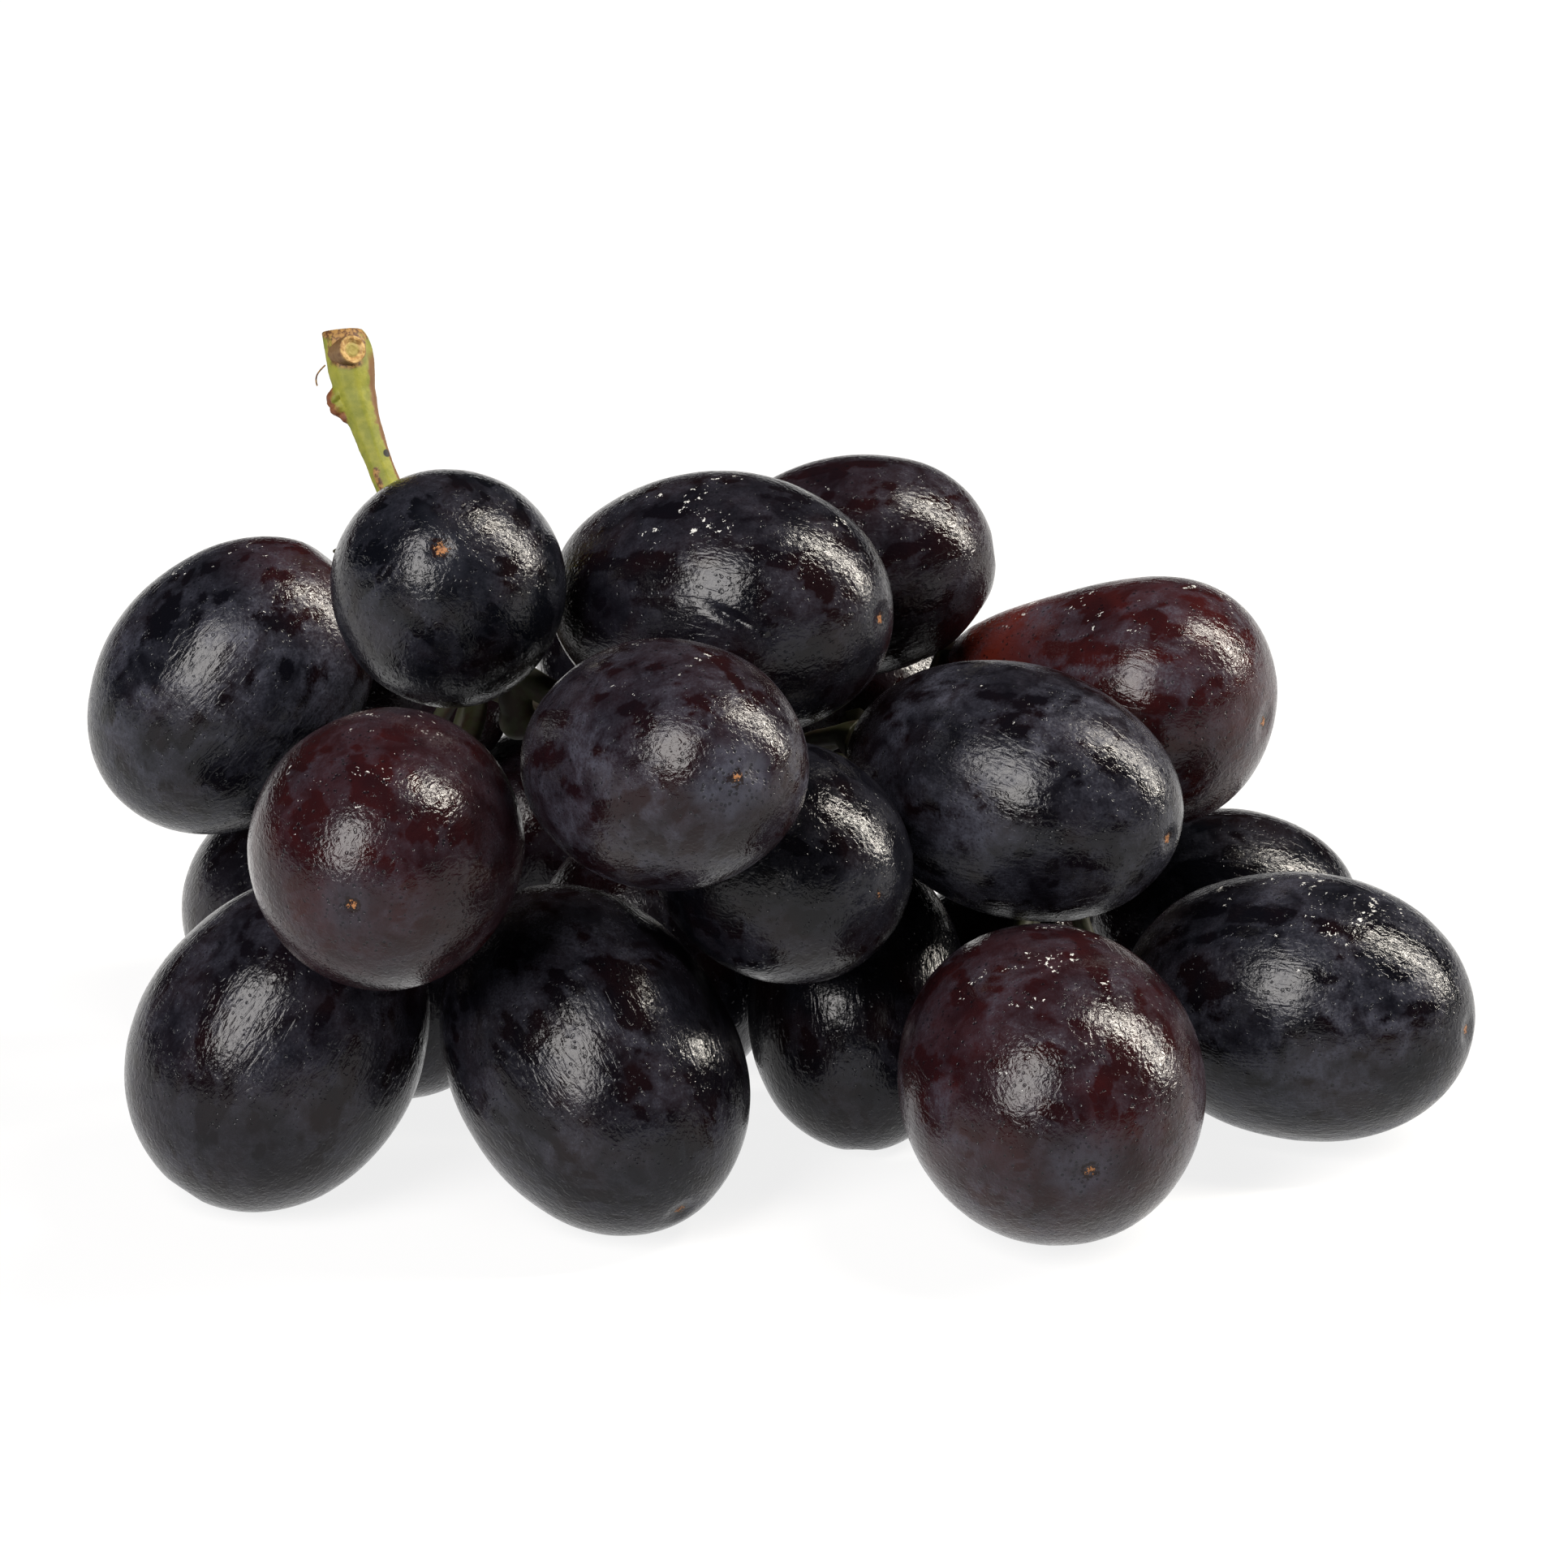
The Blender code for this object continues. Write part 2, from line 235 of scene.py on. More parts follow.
def pull_pole(ball, side, shift, dip_reach):
    """Moves the pole on that side of z, and the skin round it less and less with the distance."""
    edit_where(ball, lambda co: side * co.z > POLE)
    bpy.ops.transform.translate(
        value=(0, 0, shift),
        use_proportional_edit=True,
        proportional_edit_falloff="SMOOTH",
        proportional_size=dip_reach,
    )
    leave_edit()


deselect_all()
bpy.ops.mesh.primitive_uv_sphere_add(segments=BERRY_SEGMENTS, ring_count=BERRY_RING_COUNT, radius=1)
master = bpy.context.object
master.name = "master_berry"
edit_where(master, lambda co: abs(co.z) > CAP_START)
bpy.ops.mesh.subdivide(number_cuts=POLE_CUTS, smoothness=1.0)
leave_edit()
pull_pole(master, 1, -SCAR_DIP, SCAR_DIP_REACH)
pull_pole(master, -1, STALK_DIP, STALK_DIP_REACH)
bpy.ops.object.shade_smooth()
print(f"master berry: {len(master.data.polygons)} faces")

# %% [markdown]
# ## Twenty-five berries
#
# Each copy gets its own mesh, is fitted to its place in the frame, and is then made less perfect. Real
# berries aren't quite round. They are broad on one side, uneven by a few tenths of a millimetre, and
# pressed a little flat where they lean on each other or on the table. These are moves of single vertices
# by a rule, much as a sculpting brush makes them.

# %% Copy and fit
SPARE = 0.16 * MM  # the soft skin swells into the clear space that the frame leaves
FULLNESS = 0.04
PEAR_FULLNESS = {"berry_14": 0.45}
DRAWN_OUT = {"berry_14": 0.12}  # how much longer its stalk half is, as it runs down into the pedicel


def ovoid(co, fullness):
    """Makes a ball of radius 1 fuller towards +z."""
    swell = (1 + fullness * co[:, 2]) / (1 + 0.2 * fullness)
    return co * np.stack([swell, swell, np.ones(len(co))], axis=1)


def read_points(mesh):
    flat = np.empty(3 * len(mesh.vertices), np.float32)
    mesh.vertices.foreach_get("co", flat)
    return flat.reshape(-1, 3).astype(float)


def write_points(mesh, points):
    mesh.vertices.foreach_set("co", points.astype(np.float32).reshape(-1))
    mesh.update()


def fitted_copy(berry):
    piece = master.copy()
    piece.data = master.data.copy()
    piece.name = "grape_" + berry.name[-2:]
    bpy.context.scene.collection.objects.link(piece)
    ball = ovoid(read_points(piece.data), PEAR_FULLNESS.get(berry.name, FULLNESS))
    ball[:, 2] *= np.where(ball[:, 2] < 0, 1 + DRAWN_OUT.get(berry.name, 0.0), 1.0)
    write_points(piece.data, ball)
    piece.matrix_world = berry.placement(SPARE)
    make_active(piece)
    bpy.ops.object.transform_apply(location=True, rotation=True, scale=True)
    return piece


grapes = {name: fitted_copy(berry) for name, berry in berries.items()}
print(f"{len(grapes)} berries fitted")

# %% Uneven and pressed
LUMP_SIZE = 9 * MM
LUMP_HEIGHT = 0.22 * MM
DENT_SIZE = 2.6 * MM
DENT_HEIGHT = 0.035 * MM
PRESS_NEAR = 1.2 * MM  # neighbours with less clear space than this press each other flat
PRESS_SOFTNESS = 0.5 * MM
FLOOR_SOFTNESS = 0.3 * MM
CONTACT_STEPS = 40
CONTACT_RATE = 60.0  # how far the direction turns for each metre of slope


def lumps(points, berry, size):
    """How far each point stands out or in, by smooth noise from -1 to 1."""
    seed = Vector((17.0 * int(berry.name[-2:]), 3.0, 5.0))
    return np.array([noise.noise(Vector(point) / size + seed) for point in points])


def reach(berry, direction):
    """How far the berry's oval extends from its centre along a unit vector."""
    along = direction.dot(berry.axis)
    half_width = berry.width / 2
    half_length = berry.length / 2
    return math.sqrt(half_width**2 * (1 - along**2) + half_length**2 * along**2)


def contact(first, second):
    """The direction in which two ovals face each other and the clear distance between them."""
    apart = second.centre - first.centre
    direction = apart.normalized()
    best = (-1.0, direction)
    for _ in range(CONTACT_STEPS):
        clear = direction.dot(apart) - reach(first, direction) - reach(second, direction)
        if clear > best[0]:
            best = (clear, direction.copy())
        slope = Vector()
        for berry in (first, second):
            along = direction.dot(berry.axis)
            half_width = berry.width / 2
            half_length = berry.length / 2
            spread = half_width**2 * direction + (half_length**2 - half_width**2) * along * berry.axis
            slope -= spread / reach(berry, direction)
        slope += apart
        direction = (direction + CONTACT_RATE * (slope - direction * slope.dot(direction))).normalized()
    return best


def press(points, origin, direction, limit, softness):
    """Keeps points from passing a plane, easing them flat over the last stretch before it."""
    past = (points - origin) @ direction - limit + softness
    eased = softness * (1 - np.exp(-np.clip(past, 0, None) / softness))
    return points - np.outer(np.where(past > 0, past - eased, 0.0), direction)


def shape_berry(name):
    berry = berries[name]
    piece = grapes[name]
    points = read_points(piece.data)
    outward = points - np.array(berry.centre)
    outward /= np.linalg.norm(outward, axis=1)[:, None]
    height = LUMP_HEIGHT * lumps(points, berry, LUMP_SIZE)
    height += DENT_HEIGHT * lumps(points, berry, DENT_SIZE)
    points = points + outward * height[:, None]
    for other in berries.values():
        if other is berry:
            continue
        clear, direction = contact(berry, other)
        if clear < PRESS_NEAR:
            limit = reach(berry, direction) + clear / 2
            points = press(points, np.array(berry.centre), np.array(direction), limit, PRESS_SOFTNESS)
    if berry.on_floor:
        points = press(points, np.zeros(3), np.array((0.0, 0.0, -1.0)), 0.0, FLOOR_SOFTNESS)
    write_points(piece.data, points)


for name in berry_names:
    shape_berry(name)
print("berries shaped")

# %% [markdown]
# One berry near the top carries a crease where its neighbour once lay against it. The skin there needs
# finer faces, so the ones near the crease are cut first, and then a groove is pressed in with a low lip
# below it.

# %% Crease
CREASE_START = Vector((-5.4, -11.9, 46.2)) * MM
CREASE_END = Vector((-1.1, -12.4, 44.2)) * MM
CREASE_CUT_REACH = 2.4 * MM  # how far from the crease the faces are cut finer
GROOVE_DEPTH, GROOVE_WIDTH = 0.32 * MM, 0.34 * MM
LIP_HEIGHT, LIP_WIDTH, LIP_DISTANCE = 0.16 * MM, 0.35 * MM, 0.75 * MM
CREASE_WAVE_SIZE = 0.9 * MM


def from_crease(points):
    """The step to each point from the crease's line, and how far along the line it lies."""
    start = np.array(CREASE_START)
    line = np.array(CREASE_END - CREASE_START)
    along = np.clip((points - start) @ line / (line @ line), 0, 1)
    return points - start - np.outer(along, line), along


creased = grapes["berry_17"]
edit_where(creased, lambda co: np.linalg.norm(from_crease(np.array([co]))[0]) < CREASE_CUT_REACH)
bpy.ops.mesh.subdivide(number_cuts=3, smoothness=0.0)
leave_edit()
points = read_points(creased.data)
away, along = from_crease(points)
inward = np.array(berries["berry_17"].centre) - points
inward /= np.linalg.norm(inward, axis=1)[:, None]
away -= inward * (away * inward).sum(axis=1)[:, None]
gap = np.linalg.norm(away, axis=1)
below = np.clip(-away[:, 2] / np.maximum(gap, 1e-9), 0, 1)
taper = np.sin(np.pi * np.clip(0.1 + 0.8 * along, 0, 1))
wave = 1 + 0.5 * lumps(points, berries["berry_17"], CREASE_WAVE_SIZE)
groove = GROOVE_DEPTH * np.exp(-((gap / GROOVE_WIDTH) ** 2)) * taper * wave
lip = LIP_HEIGHT * np.exp(-(((gap - LIP_DISTANCE) / LIP_WIDTH) ** 2)) * below * taper * wave
write_points(creased.data, points + inward * (groove - lip)[:, None])
print(f"crease: {len(creased.data.polygons)} faces on its berry")

# %% [markdown]
# ## Painting masks onto the berries
#
# A material can read a number that is stored on each vertex. Such masks steer the skin: how red it is, how
# thick its waxy bloom lies, and where the bloom has been rubbed away by hands and by other berries. Another
# attribute holds each point's own place inside its berry, in millimetres, with z along the axis, so that
# patterns stay with the berry whichever way it is turned.

# %% Looks of each berry
# red, bloom: overall amounts, from 0 to 1. stalk_red: extra red round the stalk end. halo: how thick the
# bloom lies round the scar at the free end. scar: the size of that scar. glow: how much painted light, as if
# shining through, lies on the stalk end. dust and glints: how many pale flecks lie on top, partly dust and
# partly painted glints. scar_at: the way to a scar that is off the pole.
# bare_at: the way to a patch that has been rubbed clean.
PLAIN_LOOK = {
    "red": 0.06,
    "bloom": 0.45,
    "stalk_red": 0.3,
    "halo": 0.3,
    "scar": 0.9,
    "glow": 0.0,
    "dust": 0.5,
    "scar_at": None,
    "bare_at": None,
}
LOOKS = {
    "berry_01": {"bloom": 0.50, "dust": 0.4},
    "berry_02": {"red": 0.04, "bloom": 0.50, "dust": 0.3},
    "berry_03": {"red": 0.50, "bloom": 0.60, "halo": 0.7, "dust": 1.0},
    "berry_04": {"red": 0.02, "bloom": 0.75, "scar": 0.8, "dust": 1.0},
    "berry_05": {"red": 0.02, "bloom": 0.25},
    "berry_09": {"red": 0.0, "bloom": 0.40},
    "berry_10": {"red": 0.55, "bloom": 0.45, "halo": 0.4, "scar": 0.8, "dust": 0.9},
    "berry_11": {
        "red": 0.22,
        "bloom": 0.80,
        "halo": 1.0,
        "scar": 1.0,
        "scar_at": (0.41, -0.87, 0.26),
        "bare_at": (0.19, -0.92, 0.34),
        "dust": 0.9,
    },
    "berry_12": {"red": 0.02, "bloom": 0.35, "scar": 0.7, "scar_at": (0.62, -0.78, 0.07)},
    "berry_13": {"red": 0.04, "bloom": 0.85, "stalk_red": 0.4, "dust": 0.7},
    "berry_14": {"red": 0.80, "bloom": 0.75, "stalk_red": 1.0, "glow": 0.9, "dust": 0.9},
    "berry_15": {"red": 0.02, "bloom": 0.80, "stalk_red": 0.6, "dust": 0.7},
    "berry_16": {"red": 0.0, "bloom": 0.45, "halo": 0.3, "scar": 1.25, "dust": 0.3},
    "berry_17": {"red": 0.04, "bloom": 0.42, "stalk_red": 0.8, "dust": 1.0},
    "berry_18": {"red": 0.20, "bloom": 0.45, "dust": 0.6},
}
LOOKS = {name: {**PLAIN_LOOK, **LOOKS.get(name, {})} for name in berry_names}


# %% Store the masks
STREAK_SIZE = 2.1  # the width of a rubbed streak, in millimetres
STREAK_STRETCH = 0.32  # streaks run along the berry, about three times as long as they are wide


def store(mesh, name, values):
    kind = "FLOAT_VECTOR" if values.ndim == 2 else "FLOAT"
    attribute = mesh.attributes.new(name, kind, "POINT")
    field = "vector" if values.ndim == 2 else "value"
    attribute.data.foreach_set(field, values.astype(np.float32).reshape(-1))


def smooth_step(value, low, high):
    t = np.clip((value - low) / (high - low), 0, 1)
    return t * t * (3 - 2 * t)


def field(points, size, seed, octaves=3):
    """Smooth noise from about -1 to 1 at points in millimetres."""
    shift = Vector((seed * 13.7, seed * 5.1, seed * 2.3))
    return np.array([noise.fractal(Vector(point) / size + shift, 0.6, 2.1, octaves) for point in points])


def from_spot(direction, to_own, half, place):
    """How far each point is from the spot on the skin that lies in that direction, in millimetres."""
    spot = np.array((to_own.to_3x3() @ Vector(direction)).normalized()) * half
    return np.linalg.norm(place - spot, axis=1)


def paint_masks(name):
    berry = berries[name]
    look = LOOKS[name]
    mesh = grapes[name].data
    number = int(name[-2:])
    to_own = berry.placement().inverted()
    own = np.array([to_own @ vertex.co for vertex in mesh.vertices])
    half = np.array((berry.width / 2, berry.width / 2, berry.length / 2)) / MM
    place = own * half
    store(mesh, "own", place)
    stalk_side = smooth_step(-own[:, 2], 0.45, 1.0)
    # painted light: the stalk end is painted a lit red, as if light shone through it
    store(mesh, "glow", look["glow"] * smooth_step(-own[:, 2], 0.2, 0.95))
    uneven = 1 + 0.5 * field(place, 6.0, number)
    store(mesh, "red", np.clip(look["red"] * uneven + look["stalk_red"] * stalk_side, 0, 1))
    from_scar = from_spot(look["scar_at"] or berry.axis, to_own, half, place)
    store(mesh, "from_scar", from_scar / look["scar"])
    halo = look["halo"] * smooth_step(-from_scar + 1.2 * field(place, 2.5, number + 40), -4.5, -1.0)
    bloom = look["bloom"] * (1 + 0.6 * field(place, 7.5, number + 80))
    store(mesh, "bloom", np.clip(bloom + 0.4 * halo, 0, 1.3))
    store(mesh, "halo", halo)
    normals = np.empty(3 * len(own), np.float32)
    mesh.vertices.foreach_get("normal", normals)
    # the pale flecks lie mostly on the upper side; they are partly dust and partly painted glints
    upward = smooth_step(normals.reshape(-1, 3)[:, 2] + 0.35 * field(place, 4.0, number + 60), 0.25, 0.95)
    store(mesh, "dust", look["dust"] * upward)
    streak_place = place * np.array((1.0, 1.0, STREAK_STRETCH))
    streaks = field(streak_place, STREAK_SIZE, number + 120, octaves=4)
    rubbed = smooth_step(streaks, 0.18, 0.55)
    if look["bare_at"]:
        from_bare = from_spot(look["bare_at"], to_own, half, place)
        bare = smooth_step(-from_bare + 1.1 * field(place, 1.6, number + 160), -2.6, -1.4)
        rubbed = np.maximum(rubbed, 2.0 * bare)
    store(mesh, "rubbed", rubbed)


for name in berry_names:
    paint_masks(name)
print(f"masks: {', '.join(grapes[berry_names[0]].data.attributes.keys())}")

# %% [markdown]
# ## The skin
#
# A dark grape is nearly black, with a thin coat of wax over it. Where the wax lies thick it scatters a
# little blue-grey light and blurs what the skin reflects. Where it is rubbed off the skin is glossy and
# darker. The helper below adds a node and links it in one line, so that each step of the recipe reads as
# a sentence.

# %% Node helpers
class Recipe:
    """A short way to write a material's nodes. Each call adds one node and returns its result."""

    def __init__(self, name):
        self.material = bpy.data.materials.new(name)
        self.material.use_nodes = True
        self.tree = self.material.node_tree
        self.shader = self.tree.nodes["Principled BSDF"]

    def add(self, kind, inputs=(), output=0, **settings):
        node = self.tree.nodes.new(kind)
        for key, value in settings.items():
            setattr(node, key, value)
        for key, value in dict(inputs).items():
            self.feed(node.inputs[key], value)
        return node.outputs[output]

    def feed(self, socket, value):
        if isinstance(value, bpy.types.NodeSocket):
            self.tree.links.new(value, socket)
        else:
            socket.default_value = value

    def place(self):
        return self.add("ShaderNodeTexCoord", output="Object")

    def attribute(self, name, output="Fac"):
        return self.add("ShaderNodeAttribute", attribute_name=name, output=output)

    def noise(self, where, size, detail=2.0, roughness=0.5, distortion=0.0):
        """Smooth noise from 0 to 1 with features of that size, in metres where the place is in metres."""
        scale = 1.0 / size
        inputs = {"Vector": where, "Scale": scale, "Detail": detail}
        inputs.update({"Roughness": roughness, "Distortion": distortion})
        return self.add("ShaderNodeTexNoise", inputs)

    def ramp(self, value, low, high, to_low=0.0, to_high=1.0):
        """Maps low..high to to_low..to_high, smoothly and clamped."""
        inputs = {0: value, 1: low, 2: high, 3: to_low, 4: to_high}
        return self.add("ShaderNodeMapRange", inputs, interpolation_type="SMOOTHSTEP")

    def math(self, operation, first, second=0.0, clamp=False):
        inputs = {0: first, 1: second}
        return self.add("ShaderNodeMath", inputs, operation=operation, use_clamp=clamp)

    def mix(self, share, first, second):
        """A colour between two others."""
        inputs = {0: share, 6: first, 7: second}
        return self.add("ShaderNodeMix", inputs, output=2, data_type="RGBA")

    def blend(self, share, first, second):
        """A number between two others."""
        inputs = {0: share, 2: first, 3: second}
        return self.add("ShaderNodeMix", inputs, output=0, data_type="FLOAT")

    def bump(self, height, distance, strength=1.0, over=None):
        inputs = {"Height": height, "Distance": distance, "Strength": strength}
        if over is not None:
            inputs["Normal"] = over
        return self.add("ShaderNodeBump", inputs)

    def finish(self, **inputs):
        for key, value in inputs.items():
            self.feed(self.shader.inputs[key.replace("_", " ")], value)
        return self.material


def colour(red, green, blue):
    return (red, green, blue, 1.0)


# %% Grape skin
BLUE_BLACK = colour(0.0017, 0.0020, 0.0033)
PURPLE_BLACK = colour(0.0044, 0.0021, 0.0027)
DEEP_RED = colour(0.024, 0.0045, 0.0048)
LIT_RED = colour(0.130, 0.019, 0.011)
BLOOM_BLUE = colour(0.045, 0.047, 0.064)
DUST_AND_GLINT_WHITE = colour(0.55, 0.55, 0.53)
CORK_TAN = colour(0.24, 0.105, 0.040)
CORK_BROWN = colour(0.060, 0.020, 0.008)
CORK_EDGE = colour(0.007, 0.003, 0.003)

CLOUD_SIZE = 7 * MM
PATCH_SIZE = 2.8 * MM
MOTTLE_SIZE = 0.8 * MM
GRAIN_SIZE = 0.22 * MM
PIT_SIZE = 0.45 * MM
CRUMB_SIZE = 0.60 * MM
CLUSTER_SIZE = 3.2 * MM
SKIN_IOR = 1.31


def grape_skin(name):
    """From the inside out: dark body with painted glow, wax, pits, pale flecks of dust and painted glints,
    cork scar, then gloss and relief.
    """
    skin = Recipe(name)
    place = skin.place()
    own = skin.attribute("own", "Vector")
    red = skin.attribute("red")
    bloom_amount = skin.attribute("bloom")
    rubbed = skin.attribute("rubbed")

    clouds = skin.noise(place, CLOUD_SIZE, detail=3.0, roughness=0.6)
    patches = skin.noise(place, PATCH_SIZE, detail=4.0, roughness=0.55, distortion=0.8)
    mottle = skin.noise(place, MOTTLE_SIZE, detail=4.0, roughness=0.6, distortion=0.4)
    grains = skin.noise(place, GRAIN_SIZE, detail=2.0, roughness=0.6)

    dark = skin.mix(skin.ramp(clouds, 0.42, 0.70), BLUE_BLACK, PURPLE_BLACK)
    red_here = skin.math("MULTIPLY", red, skin.ramp(patches, 0.25, 0.75, 0.65, 1.2), clamp=True)
    body = skin.mix(red_here, dark, DEEP_RED)
    # painted glow: lit red on the stalk end, as if light shone through the skin
    body = skin.mix(skin.attribute("glow"), body, LIT_RED)

    wax = skin.math("MULTIPLY", skin.ramp(patches, 0.28, 0.68, 0.10, 1.0), bloom_amount)
    wax = skin.math("MULTIPLY", wax, skin.ramp(clouds, 0.32, 0.68, 0.45, 1.15))
    wax = skin.math("MULTIPLY", wax, skin.ramp(mottle, 0.3, 0.65, 0.55, 1.0))
    wax = skin.math("MULTIPLY", wax, skin.ramp(grains, 0.3, 0.62, 0.6, 1.0))
    wax = skin.math("SUBTRACT", wax, skin.math("MULTIPLY", rubbed, 0.5), clamp=True)
    halo = skin.attribute("halo")
    wax = skin.math("MAXIMUM", wax, skin.math("MULTIPLY", halo, skin.ramp(mottle, 0.3, 0.6, 0.5, 0.9)))
    waxed = skin.mix(skin.math("MULTIPLY", wax, 0.8), body, BLOOM_BLUE)

    pit_cells = skin.add(
        "ShaderNodeTexVoronoi", {"Vector": place, "Scale": 1 / PIT_SIZE}, output="Distance"
    )
    pit_places = skin.math("ADD", skin.ramp(mottle, 0.50, 0.60), halo, clamp=True)
    pits = skin.math("MULTIPLY", skin.ramp(pit_cells, 0.38, 0.22), pit_places)
    pitted = skin.mix(skin.math("MULTIPLY", pits, 0.7), waxed, BLUE_BLACK)

    # Pale flecks: some are dust, and some are painted glints, white spots standing in for sparkle on bumps.
    crumbs = skin.noise(place, CRUMB_SIZE, detail=3.5, roughness=0.72, distortion=0.2)
    clusters = skin.noise(place, CLUSTER_SIZE, detail=2.0)
    fleck_and_glint_level = skin.math("MULTIPLY", skin.attribute("dust"), skin.ramp(clusters, 0.45, 0.62))
    fleck_and_glint_level = skin.ramp(fleck_and_glint_level, 0.0, 1.0, 0.80, 0.600)
    flecks_and_glints = skin.ramp(skin.math("SUBTRACT", crumbs, fleck_and_glint_level), 0.0, 0.02)
    dusted_and_glinting = skin.mix(skin.math("MULTIPLY", flecks_and_glints, 0.8), pitted, DUST_AND_GLINT_WHITE)

    from_scar = skin.attribute("from_scar")
    ragged = skin.noise(own, 0.30, detail=3.0, roughness=0.7)
    arms = skin.noise(own, 0.55, detail=2.0, roughness=0.6, distortion=0.5)
    cork_reach = skin.math("ADD", from_scar, skin.ramp(ragged, 0.3, 0.7, -0.24, 0.24))
    edge_reach = skin.math("ADD", from_scar, skin.ramp(arms, 0.35, 0.65, -0.30, 0.40))
    cork = skin.ramp(cork_reach, 0.42, 0.30)
    cork_edge = skin.ramp(edge_reach, 0.85, 0.55)
    ringed = skin.mix(skin.math("MULTIPLY", cork_edge, 0.9), dusted_and_glinting, CORK_EDGE)
    cork_colour = skin.mix(skin.ramp(ragged, 0.42, 0.58), CORK_TAN, CORK_BROWN)
    base = skin.mix(cork, ringed, cork_colour)

    roughness = skin.blend(wax, 0.12, 0.43)
    roughness = skin.math("ADD", roughness, skin.ramp(grains, 0.3, 0.7, -0.05, 0.07))
    roughness = skin.math("ADD", roughness, skin.math("MULTIPLY", cork, 0.3), clamp=True)

    long_own = skin.add("ShaderNodeVectorMath", {0: own, 1: (1, 1, 0.3)}, operation="MULTIPLY")
    brushed = skin.noise(long_own, 0.50, detail=2.0, roughness=0.55, distortion=0.9)
    relief = skin.bump(mottle, 0.10 * MM, 0.5)
    relief = skin.bump(brushed, 0.12 * MM, 0.6, over=relief)
    relief = skin.bump(grains, 0.010 * MM, 0.6, over=relief)
    relief = skin.bump(skin.math("SUBTRACT", flecks_and_glints, pits), 0.04 * MM, 0.8, over=relief)
    relief = skin.bump(cork, 0.12 * MM, 0.8, over=relief)
    return skin.finish(Base_Color=base, Roughness=roughness, Normal=relief, IOR=SKIN_IOR)


dark_skin = grape_skin("dark_grape_skin")
red_skin = grape_skin("reddish_grape_skin")

REDDISH = ("berry_03", "berry_10", "berry_14")
for name in berry_names:
    reddish = name in REDDISH
    grapes[name].data.materials.append(red_skin if reddish else dark_skin)
    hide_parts(name)
    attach(grapes[name], "root")
print(f"{len(REDDISH)} berries of {len(berry_names)} have the reddish skin")

# %% [markdown]
# ## The stem
#
# The stem's plain tubes are already in place. Lumps of growth are added to a copy of it: three for the ledge
# that a torn bract left on its side, and two for the stub of a side shoot that was cut off inside the bunch.
# That stub sits low, where the stem is painted dark with shade, so it also fills a gap with painted shade.
# Voxel remeshing then melts all of this together, which is how branches grow out of a stalk, and smoothing
# rounds its facets. The voxels are as small as they can be with the stem under 200,000 triangles.

# %% Stem mesh
STEM_VOXEL = 0.215 * MM


def add_lump(place, size, tilt=0.0):
    """A stretched ball, placed and sized in millimetres and leaned about y by that many degrees."""
    deselect_all()
    bpy.ops.mesh.primitive_ico_sphere_add(
        subdivisions=3,
        radius=1,
        location=Vector(place) * MM,
        rotation=(0, math.radians(tilt), 0),
        scale=Vector(size) * MM,
    )
    return bpy.context.object


stem = nodes["stem"].copy()
stem.data = nodes["stem"].data.copy()
stem.name = "grape_stem"
bpy.context.scene.collection.objects.link(stem)
stem.parent = None
for key in list(stem.keys()):
    del stem[key]
make_active(stem)
bpy.ops.object.mode_set(mode="EDIT")
bpy.ops.mesh.select_all(action="SELECT")
bpy.ops.mesh.remove_doubles(threshold=0.002 * MM)
leave_edit()

lumps_of_growth = [
    add_lump((-35.3, 16.6, 53.4), (0.42, 0.9, 0.75), 25),
    add_lump((-34.95, 16.3, 52.6), (0.5, 0.9, 0.75), 25),
    add_lump((-34.4, 16.0, 51.9), (0.5, 0.8, 0.4), 25),
    add_lump((-20.9, 7.2, 31.6), (1.4, 1.4, 2.4)),
    add_lump((-20.6, 7.3, 29.5), (1.7, 1.6, 1.6)),
]
deselect_all()
for lump in lumps_of_growth:
    lump.select_set(True)
stem.select_set(True)
bpy.context.view_layer.objects.active = stem
bpy.ops.object.join()
stem.data.remesh_voxel_size = STEM_VOXEL
bpy.ops.object.voxel_remesh()
bpy.ops.object.modifier_add(type="SMOOTH")
stem.modifiers[-1].factor = 0.5
stem.modifiers[-1].iterations = 6
bpy.ops.object.modifier_apply(modifier=stem.modifiers[-1].name)

# %% Rougher wood
STALK_HEIGHTS = (44.0, 47.0, 49.0, 51.5, 53.5, 55.0, 57.0, 58.5)
STALK_GIRTHS = (0.0, -0.22, -0.22, -0.06, 0.20, 0.20, 0.05, 0.0)  # added to its radius, in millimetres
KNOB_CENTRE = np.array((-34.6, 18.9, 56.75)) * MM
KNOB_REACH = np.array((2.1, 2.0, 2.1)) * MM


def round_knob(points):
    """Pulls what lies above the knob's centre and outside its dome in to the dome."""
    out = (points - KNOB_CENTRE) / KNOB_REACH
    far = np.maximum(np.linalg.norm(out, axis=1), 1.0)
    above = smooth_step(points[:, 2] - KNOB_CENTRE[2], -1.0 * MM, 0.8 * MM)
    shrink = 1 + (1 / far - 1) * above
    return KNOB_CENTRE + (points - KNOB_CENTRE) * shrink[:, None]


CUSHION_RIM = np.array((-35.9, 9.8, 43.1)) * MM
CUSHION_MIDDLE = np.array((-34.7, 10.2, 41.9)) * MM
TUCK_REACH = 1.4 * MM
TUCK_SHARE = 0.8


def tuck_cushion(points):
    """Draws in the rim of berry_15's cushion, which would stick out past the berry beside it."""
    near = np.exp(-((np.linalg.norm(points - CUSHION_RIM, axis=1) / TUCK_REACH) ** 2))
    return points + TUCK_SHARE * near[:, None] * (CUSHION_MIDDLE - CUSHION_RIM)


